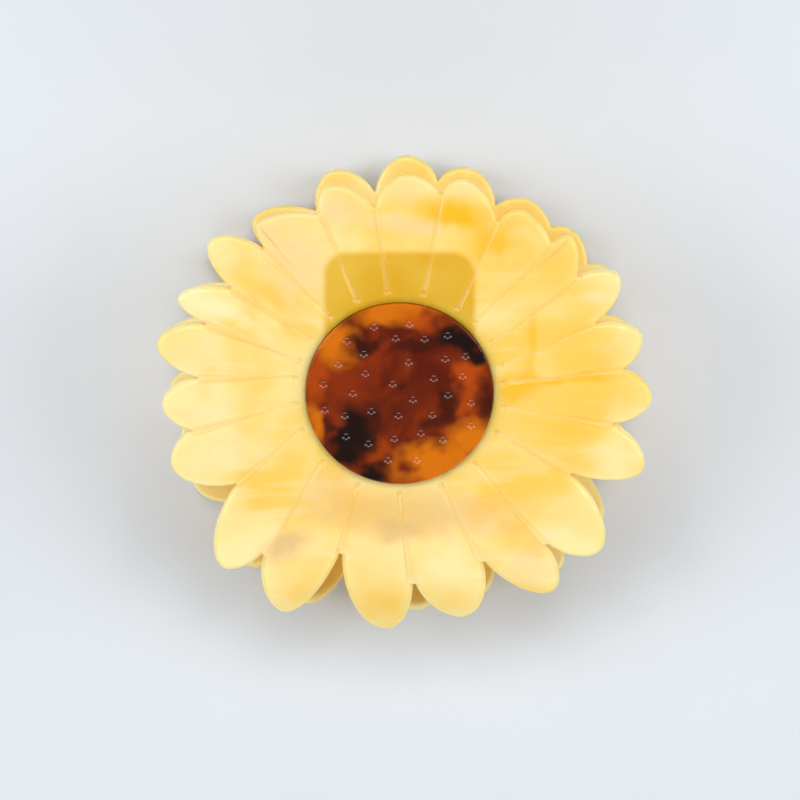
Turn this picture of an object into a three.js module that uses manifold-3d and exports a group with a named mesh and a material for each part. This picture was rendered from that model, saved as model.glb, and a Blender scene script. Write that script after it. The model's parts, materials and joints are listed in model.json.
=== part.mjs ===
// Flower hair clip: two sheet-acetate flower jaws on a sprung hinge, each with a dimpled centre disc.
// Millimetres, +Z up. The clip lies on its back: the rear centre disc rests flat at z = 0, its centre
// is the origin, the pin runs along X and the handle ends of the jaws point to +Y.
//
// Jaw frame, in which every piece of a jaw is drawn: the pin axis is X through the origin, +Y runs to
// the handle end, +Z to the outside of the jaw, and the other jaw lies below z = 0.

import * as THREE from 'three';
import { mergeVertices } from 'three/addons/utils/BufferGeometryUtils.js';
import Module from 'manifold-3d';

const wasm = await Module();
wasm.setup();

// ---------------------------------------------------------------- driving dimensions

const flowerReach = 44;          // disc centre to a petal tip of share 1
const sheetThickness = 3;
const flatReach = 17;            // the sheet stays flat this far above and below the disc centre
const handleBendRadius = 74;     // middle of the sheet, above the flat
const toothBendRadius = 60;      // middle of the sheet, below the flat
const jawTilt = THREE.MathUtils.degToRad(8.2);   // flat of a jaw against the plane where the jaws meet
const toothGap = 0.6;            // between the tips of the two jaws, closed
const pinAboveDisc = 14;         // disc centre to the pin, along the plane where the jaws meet
const fitGap = 0.3;              // between pieces that touch or turn in each other

const grooveMargin = 1.75;       // disc seat to the inner end of a groove between two petals
const grooveDepth = 0.7;
const stepsPerPetal = 8;
const flankFullness = 1.6;       // of one side of a petal's rim: 1 is an ellipse, 0 a straight slant
const flankStraightening = 2;    // fullness lost by a flank as wide as its petal
const flankTipRound = 0.5;       // of a slanted flank, as a share of its width
const notchOpening = 0.975;      // 1 closes the foot of a notch

const discDiameter = 32.5;
const discThickness = 1.8;
const discSeatDepth = 1.2;

const padThickness = 2.2;
const padSideMargin = 0.9;       // of the pad beside the outer ears
const padEndMargin = 5;          // of the pad above and below the ears
const padCorner = 4;

const earThickness = 2.5;
const earBaseReach = 6;          // of an ear's foot along the sheet, above and below the pin
const knuckleWall = 1.9;         // of the knuckle round the pin's bore

const pinDiameter = 2;
const pinHeadOverhang = 1.1;     // of the head all round the stem
const pinHeadThickness = 1.4;

const wireDiameter = 1.2;
const coilPlay = 1;              // between the pin and the inside of the coil
const coilSideGap = 0.79;        // between the coil and a rear ear
const coilFullTurns = 7;
const legReach = 7;              // along the sheet, from the pin to where a leg bears on the pad

// One row for each petal, clockwise as seen from the front, starting at the handle end:
// tip angle, tip share of flowerReach, angle and share of the notch after it, angle of its groove's start.
const frontRows = [
  [2, 0.87, 11.5, 0.81, 13],
  [17, 0.89, 29, 0.79, 33],
  [34.5, 0.88, 44.5, 0.85, 45.5],
  [47, 0.925, 56, 0.845, 60],
  [61.5, 0.985, 70, 0.82, 74],
  [76.5, 0.985, 84, 0.89, 84],
  [91.5, 1.0, 99, 0.855, 98],
  [108, 1.025, 116.5, 0.76, 113],
  [129.5, 1.05, 137.5, 0.87, 134],
  [144.5, 1.065, 155, 0.795, 156.5],
  [165, 1.035, 176, 0.825, 180],
  [183, 1.075, 199, 0.715, 203.5],
  [206, 1.085, 218.5, 0.88, 227],
  [224, 1.035, 239.5, 0.755, 248.5],
  [251, 0.96, 259, 0.84, 264],
  [267, 0.945, 274, 0.8, 278.5],
  [282, 0.98, 290, 0.81, 288.5],
  [294, 0.955, 302.5, 0.785, 302],
  [309.5, 0.965, 317.5, 0.785, 319],
  [320.5, 0.88, 336, 0.785, 336.5],
  [341.5, 0.872, 352.5, 0.75, 353.5],
];
const rearRows = [
  [2, 0.883, 11.5, 0.792, 13],
  [20, 0.88, 30.5, 0.782, 32],
  [39, 0.885, 47, 0.857, 48],
  [53.5, 0.922, 61, 0.888, 62],
  [66.5, 0.965, 75, 0.85, 76],
  [81, 0.98, 88.5, 0.88, 90],
  [95.5, 1.0, 102.5, 0.87, 104],
  [110.5, 1.025, 119, 0.86, 118],
  [128, 1.06, 135.5, 0.89, 135],
  [142, 1.07, 153, 0.85, 152],
  [160, 1.005, 167.5, 0.84, 168],
  [176, 1.02, 193, 0.78, 193],
  [201.5, 1.06, 210, 0.85, 211],
  [218, 1.04, 229, 0.85, 229],
  [239.5, 0.985, 246, 0.86, 247],
  [252, 0.95, 258, 0.86, 259],
  [265, 0.955, 270.5, 0.84, 272],
  [278, 0.97, 285, 0.82, 286],
  [289, 0.935, 297, 0.775, 298],
  [301.5, 0.93, 311.5, 0.755, 313],
  [316.5, 0.87, 332, 0.738, 333],
  [341, 0.867, 352, 0.738, 353],
];

// ---------------------------------------------------------------- sheet shape

const radians = THREE.MathUtils.degToRad;

function namedPetal([tip, reach, notch, notchReach, groove]) {
  return {
    tip: radians(tip),
    reach: reach * flowerReach,
    notch: radians(notch),
    notchReach: notchReach * flowerReach,
    groove: radians(groove),
  };
}

// The rear flower seen from its own outside: the notch after a petal becomes the notch before it.
function turnedOver(petals) {
  const turn = 2 * Math.PI;
  return petals.map((petal, index) => {
    const before = petals[(index + petals.length - 1) % petals.length];
    return {
      tip: (turn - petal.tip) % turn,
      reach: petal.reach,
      notch: (turn - before.notch) % turn,
      notchReach: before.notchReach,
      groove: (turn - before.groove) % turn,
    };
  }).sort((a, b) => a.tip - b.tip);
}

const frontPetals = frontRows.map(namedPetal);
const rearPetals = turnedOver(rearRows.map(namedPetal));

// Slope of the sheet, and how far its middle has gone along Y and Z, at a length along it from the
// disc centre.
function sheetRun(along) {
  const flat = THREE.MathUtils.clamp(along, -flatReach, flatReach);
  const bend = Math.abs(along - flat);
  const side = Math.sign(along - flat);
  const radius = side > 0 ? handleBendRadius : toothBendRadius;
  const slope = jawTilt - side * bend / radius;
  return {
    slope,
    y: flat * Math.cos(jawTilt) + radius * Math.abs(Math.sin(slope) - Math.sin(jawTilt)) * side,
    z: flat * Math.sin(jawTilt) + radius * (Math.cos(slope) - Math.cos(jawTilt)),
  };
}

// The tips of the lowest teeth set how far apart the jaws' middles stand.
function lowestInnerFace(petals) {
  const heights = petals.map(petal => {
    const run = sheetRun(petal.reach * Math.cos(petal.tip));
    return run.z - sheetThickness / 2 * Math.cos(run.slope);
  });
  return Math.min(...heights);
}
const discHeight = toothGap / 2 - Math.min(lowestInnerFace(frontPetals), lowestInnerFace(rearPetals));

// A point of the jaw frame from its place across and along the sheet and its height over the sheet's middle.
function onSheet(across, along, height) {
  const run = sheetRun(along);
  return new THREE.Vector3(
    across,
    run.y - pinAboveDisc - height * Math.sin(run.slope),
    run.z + discHeight + height * Math.cos(run.slope),
  );
}

function sheetLine(from, to, height, steps) {
  return Array.from({ length: steps + 1 }, (_, step) => {
    const place = onSheet(0, THREE.MathUtils.lerp(from, to, step / steps), height);
    return new THREE.Vector2(place.y, place.z);
  });
}

// Angle of the point where a line from the given place touches a circle round the pin.
function tangentAngle(place, radius, side) {
  return Math.atan2(place.y, place.x) + side * Math.acos(radius / place.length());
}

// ---------------------------------------------------------------- sizes that follow

const seatRadius = discDiameter / 2 + fitGap;
const grooveStart = seatRadius + grooveMargin;
const padOuterHeight = -sheetThickness / 2 - fitGap;
const padInnerHeight = padOuterHeight - padThickness;

// The coil: a leg leaves it where a straight wire can reach its bearing on the pad.
const coilRadius = pinDiameter / 2 + coilPlay + wireDiameter / 2;
const legPlace = pinAboveDisc + legReach;
const [legTip] = sheetLine(legPlace, legPlace, padInnerHeight - fitGap - wireDiameter / 2, 1);
const coilLeave = tangentAngle(legTip, coilRadius, 1);
const coilSweep = 2 * coilLeave - 2 * Math.PI * (coilFullTurns + 1);
const coilTurns = Math.abs(coilSweep) / (2 * Math.PI);
const coilLength = coilTurns * (wireDiameter + fitGap);

// The ears, from the coil outwards, and the pad that carries them.
const rearEarInside = (coilLength + wireDiameter) / 2 + coilSideGap;
const rearEarOutside = rearEarInside + earThickness;
const frontEarInside = rearEarOutside + fitGap;
const frontEarOutside = frontEarInside + earThickness;
const earBaseBottom = pinAboveDisc - earBaseReach;
const earBaseTop = pinAboveDisc + earBaseReach;
const knuckleRadius = pinDiameter / 2 + fitGap + knuckleWall;
const pinHeadRadius = pinDiameter / 2 + pinHeadOverhang;
const padHalfWidth = frontEarOutside + padSideMargin;
const padTop = earBaseTop + padEndMargin;
const padBottom = earBaseBottom - padEndMargin;

// ---------------------------------------------------------------- solids

function solidOf(geometry) {
  const bare = geometry.index ? geometry.toNonIndexed() : geometry.clone();
  bare.deleteAttribute('normal');
  bare.deleteAttribute('uv');
  const merged = mergeVertices(bare, 1e-4);
  return new wasm.Manifold(new wasm.Mesh({
    numProp: 3,
    vertProperties: new Float32Array(merged.attributes.position.array),
    triVerts: new Uint32Array(merged.index.array),
  }));
}

function geometryOf(solid) {
  const { vertProperties, triVerts } = solid.getMesh();
  const geometry = new THREE.BufferGeometry();
  geometry.setAttribute('position', new THREE.BufferAttribute(vertProperties, 3));
  geometry.setIndex(new THREE.BufferAttribute(triVerts, 1));
  geometry.computeVertexNormals();
  return geometry;
}

// Angle wrapped to the half turn on either side of another angle.
function near(angle, centre) {
  const turn = 2 * Math.PI;
  return angle - turn * Math.round((angle - centre) / turn);
}

// How far one flank of a petal's rim has dropped, from 0 at the tip to 1 at the notch.
function rimDrop(share, width) {
  const full = THREE.MathUtils.clamp(flankFullness - flankStraightening * width, 0, 1);
  const ellipse = value => 1 - Math.sqrt(1 - value * value);
  const slant = value => Math.hypot(value, flankTipRound) - flankTipRound;
  const round = ellipse(share * notchOpening) / ellipse(notchOpening);
  return THREE.MathUtils.lerp(slant(share) / slant(1), round, full);
}

// The columns of one petal: each is a line from the disc seat to the rim, at an angle that drifts
// from the groove starts to the notches.
function petalColumns(petals, index) {
  const petal = petals[index];
  const before = petals[(index + petals.length - 1) % petals.length];
  const first = near(before.notch, petal.tip);
  const last = near(petal.notch, petal.tip);
  const columns = [];
  for (let step = 0; step < stepsPerPetal; step++) {
    const across = Math.sin((step / stepsPerPetal - 0.5) * Math.PI);
    const share = Math.abs(across);
    const [notch, side] = across < 0 ? [first, before] : [last, petal];
    const drop = rimDrop(share, Math.abs(notch - petal.tip) / (last - first));
    const grooves = [near(before.groove, petal.tip), near(petal.groove, petal.tip)];
    columns.push({
      innerAngle: THREE.MathUtils.lerp(...grooves, (across + 1) / 2),
      rimAngle: THREE.MathUtils.lerp(petal.tip, notch, share),
      reach: THREE.MathUtils.lerp(petal.reach, side.notchReach, drop),
      groove: step === 0 ? grooveDepth : 0,
    });
  }
  return columns;
}

// The flower starts as a turned plate with a seat for the disc. Its rings are then moved out to the petals,
// its grooves are pressed in, and the plate is bent like the sheet.
function flowerGeometry(petals) {
  const half = sheetThickness / 2;
  const rings = [0, 0.25, 0.5, 0.75, 1];
  const section = [
    { radius: 0, height: -half },
    ...rings.map(share => ({ share, height: -half })),
    ...rings.toReversed().map(share => ({ share, height: half, outer: true })),
    { radius: seatRadius, height: half },
    { radius: seatRadius, height: half - discSeatDepth },
    { radius: 0, height: half - discSeatDepth },
  ];
  const columns = petals.flatMap((petal, index) => petalColumns(petals, index));
  const profile = section.map(({ radius, share, height }) =>
    new THREE.Vector2(radius ?? grooveStart + share, height));
  const geometry = new THREE.LatheGeometry(profile.reverse(), columns.length);
  section.reverse();
  const position = geometry.attributes.position;
  for (let turn = 0; turn <= columns.length; turn++) {
    const column = columns[turn % columns.length];
    section.forEach((point, index) => {
      const share = point.share ?? 0;
      const angle = THREE.MathUtils.lerp(column.innerAngle, column.rimAngle, share);
      const radius = point.radius ?? THREE.MathUtils.lerp(grooveStart, column.reach, share);
      const height = point.height - (point.outer ? column.groove : 0);
      const place = onSheet(radius * Math.sin(angle), radius * Math.cos(angle), height);
      position.setXYZ(turn * section.length + index, place.x, place.y, place.z);
    });
  }
  return geometryOf(solidOf(geometry));
}

function discGeometry() {
  const middle = sheetThickness / 2 - discSeatDepth + fitGap + discThickness / 2;
  const place = onSheet(0, 0, middle);
  return new THREE.CylinderGeometry(discDiameter / 2, discDiameter / 2, discThickness, 72)
    .rotateX(Math.PI / 2 + jawTilt)
    .translate(place.x, place.y, place.z);
}

// An outline in the jaw's YZ plane made as thick along X as asked, from the given x onwards.
function acrossJaw(shape, from, thickness) {
  const axes = new THREE.Matrix4().makeBasis(
    new THREE.Vector3(0, 1, 0),
    new THREE.Vector3(0, 0, 1),
    new THREE.Vector3(1, 0, 0),
  );
  return new THREE.ExtrudeGeometry(shape, { depth: thickness, bevelEnabled: false, curveSegments: 16 })
    .applyMatrix4(axes)
    .translate(from, 0, 0);
}

// The hinge pad follows the inside of the sheet, with round corners seen from the front.
function padGeometry() {
  const side = new THREE.Shape([
    ...sheetLine(padBottom, padTop, padInnerHeight, 8),
    ...sheetLine(padTop, padBottom, padOuterHeight, 8),
  ]);
  const low = onSheet(0, padBottom, padInnerHeight).y;
  const high = onSheet(0, padTop, padInnerHeight).y;
  const half = padHalfWidth;
  const front = new THREE.Shape()
    .moveTo(-half + padCorner, low)
    .lineTo(half - padCorner, low)
    .absarc(half - padCorner, low + padCorner, padCorner, -Math.PI / 2, 0)
    .absarc(half - padCorner, high - padCorner, padCorner, 0, Math.PI / 2)
    .absarc(-half + padCorner, high - padCorner, padCorner, Math.PI / 2, Math.PI)
    .absarc(-half + padCorner, low + padCorner, padCorner, Math.PI, 1.5 * Math.PI);
  const depth = 2 * discHeight;
  const block = new THREE.ExtrudeGeometry(front, { depth, bevelEnabled: false, curveSegments: 8 });
  return geometryOf(solidOf(acrossJaw(side, -2 * half, 4 * half)).intersect(solidOf(block)));
}

// A hinge ear: a tapered plate from the pad to a round knuckle, bored for the pin.
function earGeometry(from) {
  const height = padInnerHeight - fitGap;
  const [baseBottom, baseTop] = sheetLine(earBaseBottom, earBaseTop, height, 1);
  const ear = new THREE.Shape()
    .moveTo(baseTop.x, baseTop.y)
    .lineTo(baseBottom.x, baseBottom.y)
    .absarc(0, 0, knuckleRadius, tangentAngle(baseBottom, knuckleRadius, 1),
      tangentAngle(baseTop, knuckleRadius, -1) + 2 * Math.PI);
  ear.holes.push(new THREE.Path().absarc(0, 0, pinDiameter / 2 + fitGap, 0, 2 * Math.PI, true));
  return acrossJaw(ear, from, earThickness);
}

function pinGeometry() {
  const stem = pinDiameter / 2;
  const head = pinHeadRadius;
  const headFace = -frontEarOutside - fitGap;
  const end = frontEarOutside + fitGap + pinHeadThickness + fitGap;
  const profile = [
    [0, headFace - pinHeadThickness],
    [head, headFace - pinHeadThickness],
    [head, headFace],
    [stem, headFace],
    [stem, end],
    [0, end],
  ];
  return new THREE.LatheGeometry(profile.map(([r, x]) => new THREE.Vector2(r, x)), 24).rotateZ(-Math.PI / 2);
}

function retainerGeometry() {
  const bore = pinDiameter / 2 + fitGap;
  const rim = pinHeadRadius;
  const near = frontEarOutside + fitGap;
  const far = near + pinHeadThickness;
  const profile = [[bore, near], [rim, near], [rim, far], [bore, far], [bore, near]];
  return new THREE.LatheGeometry(profile.map(([r, x]) => new THREE.Vector2(r, x)), 24).rotateZ(-Math.PI / 2);
}

// The torsion spring: a leg on the rear pad, the coil round the pin, a leg on the front pad.
// Squeezing the handles winds the coil tighter.
function springGeometry() {
  const coilSteps = Math.round(coilTurns * 12);
  const middleOfLeg = (angle, tipZ) => new THREE.Vector2(
    (coilRadius * Math.cos(angle) + legTip.x) / 2,
    (coilRadius * Math.sin(angle) + tipZ) / 2,
  );
  const lower = middleOfLeg(-coilLeave, -legTip.y);
  const upper = middleOfLeg(coilLeave, legTip.y);
  const points = [
    new THREE.Vector3(-coilLength / 2, legTip.x, -legTip.y),
    new THREE.Vector3(-coilLength / 2, lower.x, lower.y),
  ];
  for (let step = 0; step <= coilSteps; step++) {
    const share = step / coilSteps;
    const angle = -coilLeave + coilSweep * share;
    points.push(new THREE.Vector3(
      (share - 0.5) * coilLength,
      coilRadius * Math.cos(angle),
      coilRadius * Math.sin(angle),
    ));
  }
  points.push(new THREE.Vector3(coilLength / 2, upper.x, upper.y));
  points.push(new THREE.Vector3(coilLength / 2, legTip.x, legTip.y));
  const wire = new THREE.Shape().absarc(0, 0, wireDiameter / 2, 0, 2 * Math.PI);
  const extrudePath = new THREE.CatmullRomCurve3(points, false, 'centripetal');
  return new THREE.ExtrudeGeometry(wire, { steps: coilSteps + 16, extrudePath, curveSegments: 3 });
}

// ---------------------------------------------------------------- assembly

const acetate = new THREE.MeshStandardMaterial({ color: 0xffdd82, roughness: 0.22, metalness: 0 });
const tortoiseshell = new THREE.MeshStandardMaterial({ color: 0x8a3c12, roughness: 0.12, metalness: 0 });
const hingeAcetate = new THREE.MeshStandardMaterial({ color: 0xe9b84f, roughness: 0.3, metalness: 0 });
const springSteel = new THREE.MeshStandardMaterial({ color: 0xb9bcc0, roughness: 0.28, metalness: 1 });

function add(parent, name, geometry, material) {
  const mesh = new THREE.Mesh(geometry, material);
  mesh.name = name;
  parent.add(mesh);
}

// The sides name the ears as seen from the front of the clip, the one at -X of the jaw frame first.
function jaw(name, petals, earInside, [firstSide, secondSide]) {
  const group = new THREE.Group();
  add(group, `${name}_flower`, flowerGeometry(petals), acetate);
  add(group, `${name}_center_disc`, discGeometry(), tortoiseshell);
  add(group, `${name}_hinge_pad`, padGeometry(), hingeAcetate);
  add(group, `${name}_hinge_ear_${firstSide}`, earGeometry(-earInside - earThickness), hingeAcetate);
  add(group, `${name}_hinge_ear_${secondSide}`, earGeometry(earInside), hingeAcetate);
  return group;
}

const clip = new THREE.Group();
clip.add(jaw('front', frontPetals, frontEarInside, ['left', 'right']));
const rearJaw = jaw('rear', rearPetals, rearEarInside, ['right', 'left']);
rearJaw.rotation.y = Math.PI;
clip.add(rearJaw);
add(clip, 'hinge_pin', pinGeometry(), springSteel);
add(clip, 'pin_retainer', retainerGeometry(), springSteel);
add(clip, 'torsion_spring', springGeometry(), springSteel);

// Laid down on the rear disc, whose outer face comes to z = 0 with its centre at the origin.
const discProud = sheetThickness / 2 - discSeatDepth + fitGap + discThickness;
const restCentre = onSheet(0, 0, discProud)
  .applyAxisAngle(new THREE.Vector3(0, 1, 0), Math.PI)
  .applyAxisAngle(new THREE.Vector3(1, 0, 0), jawTilt);
clip.rotation.x = jawTilt;
clip.position.set(0, -restCentre.y, -restCentre.z);

const group = new THREE.Group();
group.add(clip);

export default group;
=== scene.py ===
import json
import math

import bmesh
import bpy
from mathutils import Matrix, Vector


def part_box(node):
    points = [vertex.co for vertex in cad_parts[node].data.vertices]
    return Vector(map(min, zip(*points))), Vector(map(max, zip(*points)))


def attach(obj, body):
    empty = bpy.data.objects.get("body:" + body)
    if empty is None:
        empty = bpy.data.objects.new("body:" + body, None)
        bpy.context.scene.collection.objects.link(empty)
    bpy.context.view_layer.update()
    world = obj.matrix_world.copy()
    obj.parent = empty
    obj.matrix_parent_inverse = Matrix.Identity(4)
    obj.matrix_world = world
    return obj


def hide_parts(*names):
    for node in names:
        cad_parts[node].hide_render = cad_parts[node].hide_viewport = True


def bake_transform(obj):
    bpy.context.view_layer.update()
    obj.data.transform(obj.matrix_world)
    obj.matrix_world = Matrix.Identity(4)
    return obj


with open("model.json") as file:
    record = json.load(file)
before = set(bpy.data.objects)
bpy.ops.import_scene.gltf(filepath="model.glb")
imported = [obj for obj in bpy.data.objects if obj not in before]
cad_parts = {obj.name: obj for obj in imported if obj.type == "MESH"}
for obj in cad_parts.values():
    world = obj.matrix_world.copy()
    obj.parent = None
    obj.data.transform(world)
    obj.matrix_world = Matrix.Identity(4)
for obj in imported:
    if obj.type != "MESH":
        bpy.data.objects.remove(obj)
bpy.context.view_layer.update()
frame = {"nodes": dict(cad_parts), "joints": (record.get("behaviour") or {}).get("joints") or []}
print("frame loaded,", len(frame["nodes"]), "nodes")

mm = 0.001
hinge = frame["joints"][0]

# the sheet that both jaws are formed from, in millimetres, as in the design
sheet = {
    "reach": 44,  # disc centre to a petal tip of share 1
    "thickness": 3,
    "flat": 17,  # flat this far above and below the disc centre
    "handleBend": 74,
    "toothBend": 60,
    "tilt": math.radians(8.2),
    "pinAboveDisc": 14,
    "fitGap": 0.3,
}
half = sheet["thickness"] / 2

# rows clockwise from the handle end: tip angle, tip share, notch angle, notch share, groove's inner angle
frontRows = [
    (2, 0.87, 11.5, 0.81, 13),
    (17, 0.89, 29, 0.79, 33),
    (34.5, 0.88, 44.5, 0.85, 45.5),
    (47, 0.925, 56, 0.845, 60),
    (61.5, 0.985, 70, 0.82, 74),
    (76.5, 0.985, 84, 0.89, 84),
    (91.5, 1.0, 99, 0.855, 98),
    (108, 1.025, 116.5, 0.76, 113),
    (129.5, 1.05, 137.5, 0.87, 134),
    (144.5, 1.065, 155, 0.795, 156.5),
    (165, 1.035, 176, 0.825, 180),
    (183, 1.075, 199, 0.715, 203.5),
    (206, 1.085, 218.5, 0.88, 227),
    (224, 1.035, 239.5, 0.755, 248.5),
    (251, 0.96, 259, 0.84, 264),
    (267, 0.945, 274, 0.8, 278.5),
    (282, 0.98, 290, 0.81, 288.5),
    (294, 0.955, 302.5, 0.785, 302),
    (309.5, 0.965, 317.5, 0.785, 319),
    (320.5, 0.88, 336, 0.785, 336.5),
    (341.5, 0.872, 352.5, 0.75, 353.5),
]
rearRows = [  # seen from the front
    (2, 0.883, 11.5, 0.792, 13),
    (20, 0.88, 30.5, 0.782, 32),
    (39, 0.885, 47, 0.857, 48),
    (53.5, 0.922, 61, 0.888, 62),
    (66.5, 0.965, 75, 0.85, 76),
    (81, 0.98, 88.5, 0.88, 90),
    (95.5, 1.0, 102.5, 0.87, 104),
    (110.5, 1.025, 119, 0.86, 118),
    (128, 1.06, 135.5, 0.89, 135),
    (142, 1.07, 153, 0.85, 152),
    (160, 1.005, 167.5, 0.84, 168),
    (176, 1.02, 193, 0.78, 193),
    (201.5, 1.06, 210, 0.85, 211),
    (218, 1.04, 229, 0.85, 229),
    (239.5, 0.985, 246, 0.86, 247),
    (252, 0.95, 258, 0.86, 259),
    (265, 0.955, 270.5, 0.84, 272),
    (278, 0.97, 285, 0.82, 286),
    (289, 0.935, 297, 0.775, 298),
    (301.5, 0.93, 311.5, 0.755, 313),
    (316.5, 0.87, 332, 0.738, 333),
    (341, 0.867, 352, 0.738, 353),
]


def namedPetal(row):
    tip, reach, notch, notchReach, groove = row
    return {
        "tip": math.radians(tip),
        "reach": reach * sheet["reach"],
        "notch": math.radians(notch),
        "notchReach": notchReach * sheet["reach"],
        "groove": math.radians(groove),
    }


def turnedOver(petals):  # seen from the other side: the notch after a petal becomes the one before
    turned = []
    for index, petal in enumerate(petals):
        before = petals[index - 1]
        turned.append({
            "tip": -petal["tip"] % math.tau,
            "reach": petal["reach"],
            "notch": -before["notch"] % math.tau,
            "notchReach": before["notchReach"],
            "groove": -before["groove"] % math.tau,
        })
    return sorted(turned, key=lambda petal: petal["tip"])


frontPetals = [namedPetal(row) for row in frontRows]
rearPetals = turnedOver([namedPetal(row) for row in rearRows])


def sheetRun(along):  # slope and run of the sheet's middle, a length along it from the disc centre
    flat = max(-sheet["flat"], min(sheet["flat"], along))
    bend = abs(along - flat)
    side = 1 if along > flat else -1
    radius = sheet["handleBend"] if side > 0 else sheet["toothBend"]
    tilt = sheet["tilt"]
    slope = tilt - side * bend / radius
    y = flat * math.cos(tilt) + side * radius * abs(math.sin(slope) - math.sin(tilt))
    z = flat * math.sin(tilt) + radius * (math.cos(slope) - math.cos(tilt))
    return slope, y, z


# a jaw is drawn with the pin along X through the origin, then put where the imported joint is
pinAt = Vector(hinge["pos_m"])
toFront = Matrix.Translation(pinAt) @ Matrix.Rotation(sheet["tilt"], 4, "X") @ Matrix.Scale(mm, 4)
toRear = toFront @ Matrix.Rotation(math.pi, 4, "Y")

discSize = {"diameter": 32.5, "thickness": 1.8, "seatDepth": 1.2, "edge": 0.18}
discMiddle = half - discSize["seatDepth"] + sheet["fitGap"] + discSize["thickness"] / 2
low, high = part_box("front_center_disc")
discAt = (low + high) / 2
discCentre = toFront.inverted() @ discAt
sheet["discHeight"] = discCentre.z - discMiddle * math.cos(sheet["tilt"])


def onSheet(across, along, height):
    slope, y, z = sheetRun(along)
    return Vector((
        across,
        y - sheet["pinAboveDisc"] - height * math.sin(slope),
        z + sheet["discHeight"] + height * math.cos(slope),
    ))


def lerp(a, b, share):
    return a + (b - a) * share


def smooth(low, high, value):
    share = max(0.0, min(1.0, (value - low) / (high - low)))
    return share * share * (3 - 2 * share)


def near(angle, centre):
    return angle - math.tau * round((angle - centre) / math.tau)


def polar(radius, angle):
    return Vector((radius * math.sin(angle), radius * math.cos(angle)))


def pieceFrom(name, bm, place, sharp=35):  # a finished mesh, its place in its vertices
    bmesh.ops.recalc_face_normals(bm, faces=bm.faces)
    bmesh.ops.transform(bm, matrix=place, verts=bm.verts)
    mesh = bpy.data.meshes.new(name)
    bm.to_mesh(mesh)
    bm.free()
    for polygon in mesh.polygons:
        polygon.use_smooth = True
    mesh.set_sharp_from_angle(angle=math.radians(sharp))
    piece = bpy.data.objects.new(name, mesh)
    bpy.context.scene.collection.objects.link(piece)
    return piece


def meshOf(piece):  # the mesh with its modifiers applied, as a bmesh; the piece is removed
    graph = bpy.context.evaluated_depsgraph_get()
    bm = bmesh.new()
    bm.from_mesh(piece.evaluated_get(graph).to_mesh())
    bpy.data.objects.remove(piece)
    return bm


def looseObject(name, bm):
    mesh = bpy.data.meshes.new(name)
    bm.to_mesh(mesh)
    bm.free()
    piece = bpy.data.objects.new(name, mesh)
    bpy.context.scene.collection.objects.link(piece)
    return piece


def eased(bm, edges, size):  # edges made round
    bmesh.ops.bevel(bm, geom=edges, offset=size, segments=3, profile=0.5, affect="EDGES", material=-1)


def cut(bm, cutter):  # boolean difference of two bmeshes
    body = looseObject("body", bm)
    tool = looseObject("tool", cutter)
    modifier = body.modifiers.new("cut", "BOOLEAN")
    modifier.operation = "DIFFERENCE"
    modifier.solver = "EXACT"
    modifier.object = tool
    bpy.context.view_layer.update()
    result = meshOf(body)
    bpy.data.objects.remove(tool)
    return result


def finished(piece, body, material, slot, *nodes):
    piece.data.materials.append(material)
    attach(piece, body)
    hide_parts(*nodes)
    return piece


flower = {
    "stepsPerPetal": 40,
    "fullness": 1.6,  # of a flank, 1 is an ellipse and 0 a straight slant
    "straightening": 2.0,  # the fullness lost by a flank as wide as its petal
    "tipRound": 0.5,
    "notchOpening": 0.975,  # 1 closes the foot of a notch
    "relief": 0.12,  # the rim stands this far inside its drawn outline
    "outerRound": 0.9,
    "innerRound": 0.7,
    "grooveStart": 18.3,
    "grooveDepth": 0.2,
    "grooveFlat": 0.25,  # half width of a groove's floor
    "grooveWidth": 0.52,  # half width at its top
    "pitRadius": 0.62,
    "pitDepth": 0.35,
    "grooveFade": 0.35,  # of the groove's depth, lost between these two distances from the middle
    "grooveFadeFrom": 30,
    "grooveFadeTo": 36,
    "camber": 0.35,  # a petal's sides lie this much lower, from none to all between these two distances
    "camberFrom": 20,
    "camberTo": 40,
    "seatGap": 0.04,
}


# 0 at the tip, 1 at the notch; a flank is fuller the less of the petal's width it has
def rimDrop(share, width):
    full = max(0.0, min(1.0, flower["fullness"] - flower["straightening"] * width))
    share = abs(share)

    def ellipse(value):
        return 1 - math.sqrt(1 - value * value)

    def slant(value):
        return math.hypot(value, flower["tipRound"]) - flower["tipRound"]

    opening = flower["notchOpening"]
    return lerp(slant(share) / slant(1), ellipse(share * opening) / ellipse(opening), full)


def petalColumns(petals, index):
    petal, before = petals[index], petals[index - 1]
    steps = flower["stepsPerPetal"]
    first, last = near(before["notch"], petal["tip"]), near(petal["notch"], petal["tip"])
    columns = []
    for step in range(steps):
        share = math.sin((step / steps - 0.5) * math.pi)
        notch, side = (first, before) if share < 0 else (last, petal)
        width = abs(notch - petal["tip"]) / (last - first)
        reach = petal["reach"] - (petal["reach"] - side["notchReach"]) * rimDrop(share, width)
        angle = petal["tip"] + abs(share) * (notch - petal["tip"])
        across = (angle - first) / (last - first)
        inner = lerp(near(before["groove"], petal["tip"]), near(petal["groove"], petal["tip"]), across)
        columns.append({"across": across, "inner": inner, "rim": polar(reach, angle), "first": step == 0})
    return columns


def softened(points, passes):  # rounds the feet of the notches
    for _ in range(passes):
        points = [
            (points[index - 1] + 2 * point + points[(index + 1) % len(points)]) / 4
            for index, point in enumerate(points)
        ]
    return points


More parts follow.
